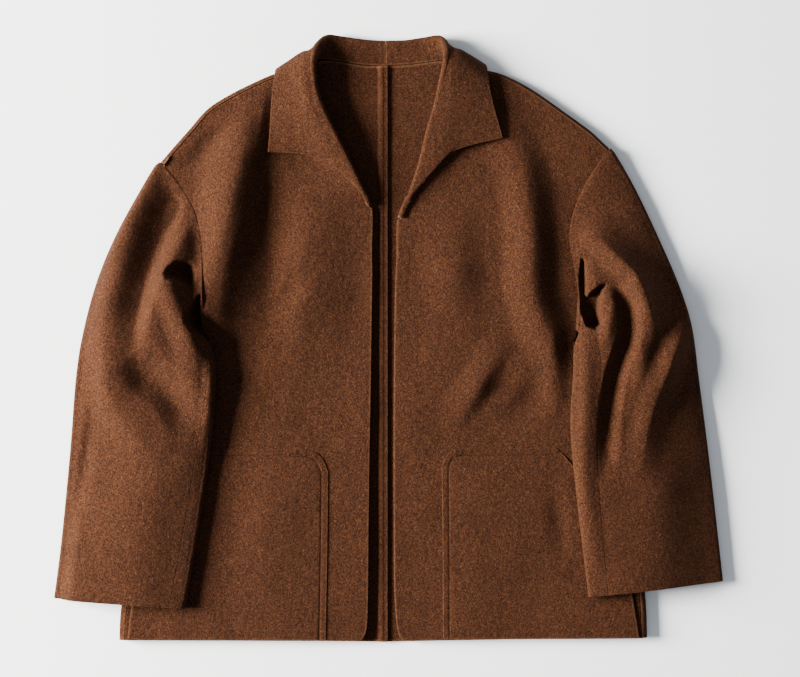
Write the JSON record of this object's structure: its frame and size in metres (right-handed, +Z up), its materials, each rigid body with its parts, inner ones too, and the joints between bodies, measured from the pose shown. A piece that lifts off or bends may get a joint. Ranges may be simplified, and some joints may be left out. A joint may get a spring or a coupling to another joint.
{
  "type": "wool jacket",
  "caption": "Open-fronted jacket of thick felted wool with a cut-on collar, patch pockets and dropped sleeves, laid out flat and face up.",
  "frame": {"origin": "centre of the jacket's outline on the surface that it lies on", "axes": "+X to the right as seen from above in front of the hem, +Y from the hem to the collar, +Z up from the surface"},
  "size_m": [0.7112, 0.6457, 0.0382],
  "materials": {
    "wool": "felted melange wool with a soft matt nap, rust brown with ochre and near-black fibres"
  },
  "bodies": {
    "root": {"back_left": "wool", "back_right": "wool", "front_left": "wool", "front_right": "wool", "pocket_left": "wool", "pocket_right": "wool", "sleeve_left": "wool", "sleeve_right": "wool"}
  },
  "joints": []
}
